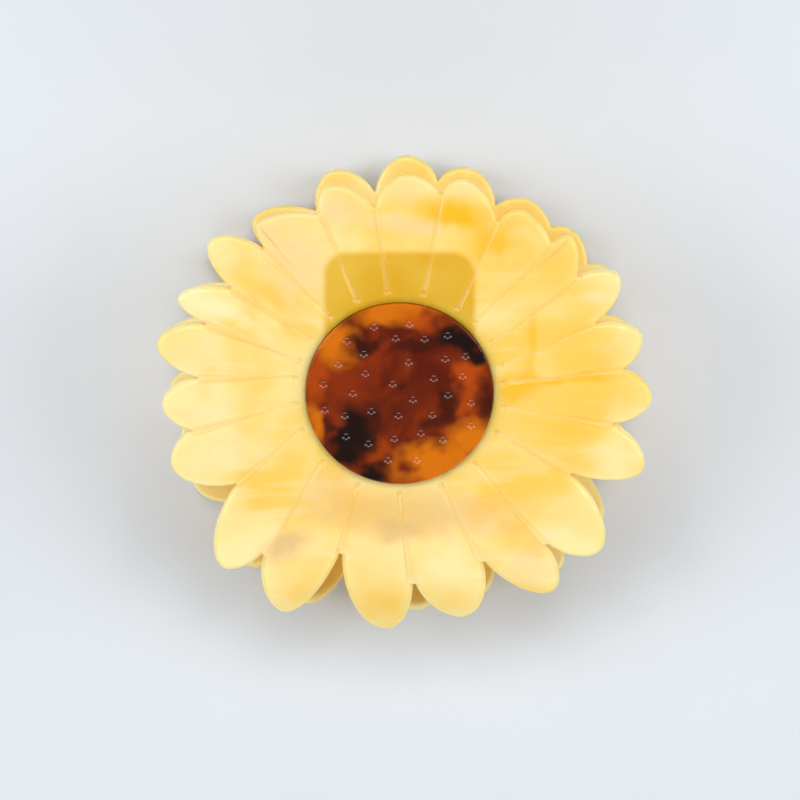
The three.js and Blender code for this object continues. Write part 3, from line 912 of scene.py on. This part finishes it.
def hingeMaterial():
    material, tree, shader, place = newMaterial("hingeAcetate")
    marble = use(tree, "marble", {"Position": place["Position"], "Frequency": hingeLook["cloudFrequency"]})
    color = mixed(tree, marble["Cloud"], linear(*hingeLook["deep"]), linear(*hingeLook["light"]))
    streaks = maths(tree, "MULTIPLY", marble["Streak"], hingeLook["streaks"])
    color = mixed(tree, streaks, color, linear(*hingeLook["streak"]))
    tree.links.new(color, shader.inputs["Base Color"])
    scattering(shader, hingeLook)
    shader.inputs["Transmission Weight"].default_value = hingeLook["transmission"]
    polished(tree, shader, place["Position"], hingeLook)
    return material


pinLook = {"color": (0.66, 0.67, 0.69), "roughness": 0.22, "unevenness": 0.15, "wave": 0.03}
springLook = {"color": (0.56, 0.57, 0.6), "roughness": 0.28, "unevenness": 0.15, "wave": 0.03}
darkLines = 0.72  # of the steel's colour


def steelMaterial(name, look):  # plated steel with fine lines round the pin's direction
    material, tree, shader, place = newMaterial(name)
    drawn = vectors(tree, "MULTIPLY", place["Position"], (9, 0.6, 0.6))
    line = noise(tree, drawn, 1.0, 3).outputs[0]
    darker = [darkLines * value for value in look["color"]]
    color = mixed(tree, ranged(tree, line, 0.35, 0.7), (*darker, 1), (*look["color"], 1))
    tree.links.new(color, shader.inputs["Base Color"])
    shader.inputs["Metallic"].default_value = 1
    polished(tree, shader, place["Position"], look)
    return material


floorLook = {"light": (219, 224, 229), "dark": (214, 219, 224), "roughness": 0.7}


def floorMaterial():
    material, tree, shader, place = newMaterial("paleFloor")
    grain = noise(tree, place["Position"], 0.02, 3).outputs[0]
    color = mixed(tree, grain, linear(*floorLook["dark"]), linear(*floorLook["light"]))
    tree.links.new(color, shader.inputs["Base Color"])
    shader.inputs["Roughness"].default_value = floorLook["roughness"]
    return material


petalAcetate = petalMaterial()
tortoiseshell = shellMaterial()
hingeAcetate = hingeMaterial()
pinSteel = steelMaterial("pinSteel", pinLook)
springSteel = steelMaterial("springSteel", springLook)
print("materials made")

frontFlower = flowerPiece("front_petals", frontPetals, toFront)
rearFlower = flowerPiece("rear_petals", rearPetals, toRear)
finished(frontFlower, "front_jaw", petalAcetate, "petal_acetate", "front_flower")
finished(rearFlower, "rear_jaw", petalAcetate, "petal_acetate", "rear_flower")
print("flowers made")

for side, place in (("front", toFront), ("rear", toRear)):
    body = f"{side}_jaw"
    finished(discPiece(f"{side}_disc", place), body, tortoiseshell, "tortoiseshell", f"{side}_center_disc")
    finished(padPiece(f"{side}_pad", place), body, hingeAcetate, "hinge_acetate", f"{side}_hinge_pad")
    inside = ear[f"{side}Inside"]
    hands = ("left", "right") if side == "front" else ("right", "left")
    for hand, start in zip(hands, (-inside - ear["thickness"], inside)):
        piece = earPiece(f"{side}_ear_{hand}", place, start)
        finished(piece, body, hingeAcetate, "hinge_acetate", f"{side}_hinge_ear_{hand}")
finished(pinPiece("pin", toFront), "rear_jaw", pinSteel, "pin_steel", "hinge_pin")
finished(retainerPiece("retainer", toFront), "rear_jaw", pinSteel, "pin_steel", "pin_retainer")
spring, coilLength = springPiece("spring", toFront)
spring.data.materials.append(springSteel)
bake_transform(spring)
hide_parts("torsion_spring")
print("discs and hinge made")

studio = {
    "distance": 0.65,
    "viewWidth": 0.1388,  # what the picture takes in at the disc
    "viewAcross": 0.00007,  # the picture's middle lies this far to the right of the disc's
    "viewBelow": 0.00113,
    "floorHalf": 3,
    "floorBelow": 0.0002,
    "lamps": {  # place, size and watts
        "topSoft": ((0.0, 0.5, 0.85), (0.8, 0.4), 3.9),
        "lowSoft": ((0.0, -0.85, 0.42), (1.0, 0.3), 3.4),
        "leftSoft": ((-0.7, 0.05, 0.6), (0.5, 0.7), 3.9),
        "rightSoft": ((0.7, 0.05, 0.6), (0.5, 0.7), 3.9),
    },
    "lampAim": (0, 0, 0.02),
    "sky": (0.9, 0.95, 1.0, 1),
    "skyStrength": 0.18,
}


def softLight(name, at, size, power):
    data = bpy.data.lights.new(name, "AREA")
    data.shape = "RECTANGLE"
    data.size, data.size_y = size
    data.energy = power
    light = bpy.data.objects.new(name, data)
    light.location = at
    light.rotation_euler = (Vector(studio["lampAim"]) - Vector(at)).to_track_quat("-Z", "Y").to_euler()
    bpy.context.scene.collection.objects.link(light)


bm = bmesh.new()
bmesh.ops.create_grid(bm, x_segments=1, y_segments=1, size=studio["floorHalf"])
floor = looseObject("floor", bm)
floor.location.z = -studio["floorBelow"]
floor.data.materials.append(floorMaterial())

for name, (at, size, power) in studio["lamps"].items():
    softLight(name, at, size, power)

world = bpy.data.worlds.new("studio")
world.use_nodes = True
sky = world.node_tree.nodes["Background"]
sky.inputs["Color"].default_value = studio["sky"]
sky.inputs["Strength"].default_value = studio["skyStrength"]
bpy.context.scene.world = world
bpy.context.scene.view_settings.view_transform = "Standard"

camera = bpy.data.objects.new("camera", bpy.data.cameras.new("camera"))
camera.location = (studio["viewAcross"], discAt.y - studio["viewBelow"], discAt.z + studio["distance"])
camera.data.lens = camera.data.sensor_width * studio["distance"] / studio["viewWidth"]
camera.data.clip_start = 0.01
bpy.context.scene.collection.objects.link(camera)
bpy.context.scene.camera = camera
print("studio set")
